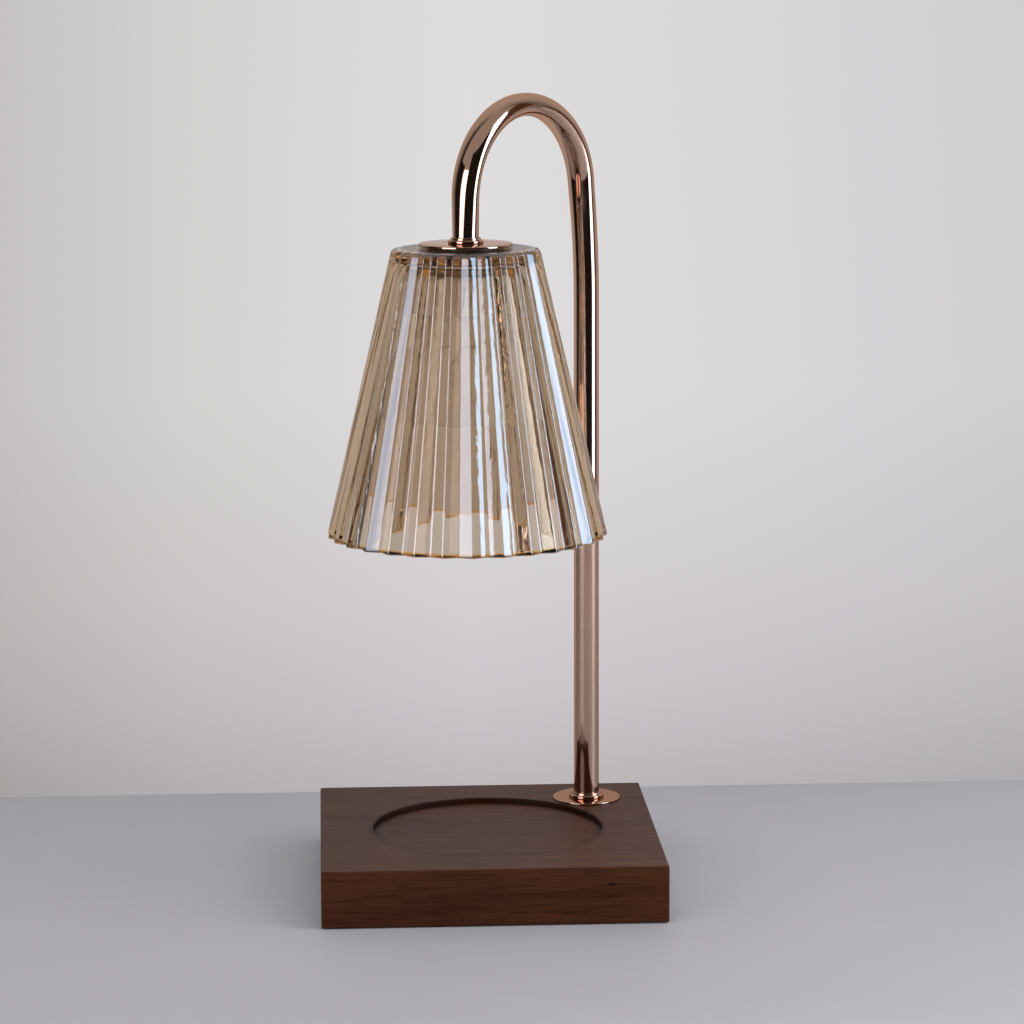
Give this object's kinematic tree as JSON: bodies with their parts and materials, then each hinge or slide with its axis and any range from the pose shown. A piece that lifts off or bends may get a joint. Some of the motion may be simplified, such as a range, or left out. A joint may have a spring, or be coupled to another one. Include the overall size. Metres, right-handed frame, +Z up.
{
  "type": "candle warmer lamp",
  "caption": "Candle warmer lamp: pleated glass shade with a reflector bulb on a swan-neck tube, over a square wooden base with a round candle seat.",
  "frame": {"origin": "centre of the square base, on the surface that its pads stand on", "axes": "+Z up; +X to the right and +Y to the back, with the pole at the back right corner"},
  "size_m": [0.15, 0.15, 0.3522],
  "materials": {
    "walnut_stained_wood": "satin lacquer",
    "rose_gold_plate": "polished plate",
    "amber_lustre_glass": "lustre coated",
    "black_rubber": "matte",
    "black_steel_plate": "powder coat",
    "phosphated_steel": "phosphate coated",
    "cream_enamel": "baked enamel",
    "zinc_steel": "zinc plated",
    "nylon": "moulded",
    "brass": "turned",
    "glass_fibre_sleeve": "braided",
    "silicone_wire": "satin",
    "silicone_gasket": "satin",
    "steatite": "glazed ceramic",
    "nickel_contact": "nickel plated",
    "dichroic_glass": "dichroic coated",
    "clear_glass": "clear",
    "tungsten": "drawn"
  },
  "bodies": {
    "base": {"base_block": "walnut_stained_wood", "foot_pads": "black_rubber", "base_cover": "black_steel_plate", "cover_screws": "zinc_steel", "cord_grommet": "black_rubber", "terminal_block": "nylon", "terminal_inserts": "brass", "terminal_screws": "brass", "block_screw": "zinc_steel", "base_lead": "glass_fibre_sleeve", "base_cores": "silicone_wire", "arm_flange": "rose_gold_plate", "pole_washer": "zinc_steel"},
    "arm": {"pole_collar": "rose_gold_plate", "pole_nipple": "zinc_steel", "spring_washer": "zinc_steel", "pole_nut": "zinc_steel", "arm_tube": "rose_gold_plate", "arm_lead": "glass_fibre_sleeve", "shade_collar": "rose_gold_plate", "shade_disc": "rose_gold_plate", "upper_gasket": "silicone_gasket", "glass_shade": "amber_lustre_glass", "lower_gasket": "silicone_gasket", "clamp_cup": "phosphated_steel", "shade_nipple": "zinc_steel", "shade_nut": "zinc_steel", "holder_cap": "cream_enamel", "lampholder": "steatite", "holder_screws": "zinc_steel", "holder_contacts": "nickel_contact", "holder_cores": "silicone_wire"},
    "bulb": {"bulb_base": "steatite", "bulb_pins": "nickel_contact", "bulb_reflector": "dichroic_glass", "bulb_lens": "clear_glass", "bulb_capsule": "clear_glass", "bulb_filament": "tungsten"}
  },
  "joints": [
    {"name": "arm_swivel", "type": "hinge", "parent": "base", "child": "arm", "pos_m": [0.0482, 0.0479, 0.0254], "axis": [0, 0, 1], "range_deg": [-60, 60]},
    {"name": "bulb_twist", "type": "hinge", "parent": "arm", "child": "bulb", "pos_m": [-0.00884, -0.01305, 0.257], "axis": [0, 0, -1], "range_deg": [0, 28]}
  ]
}
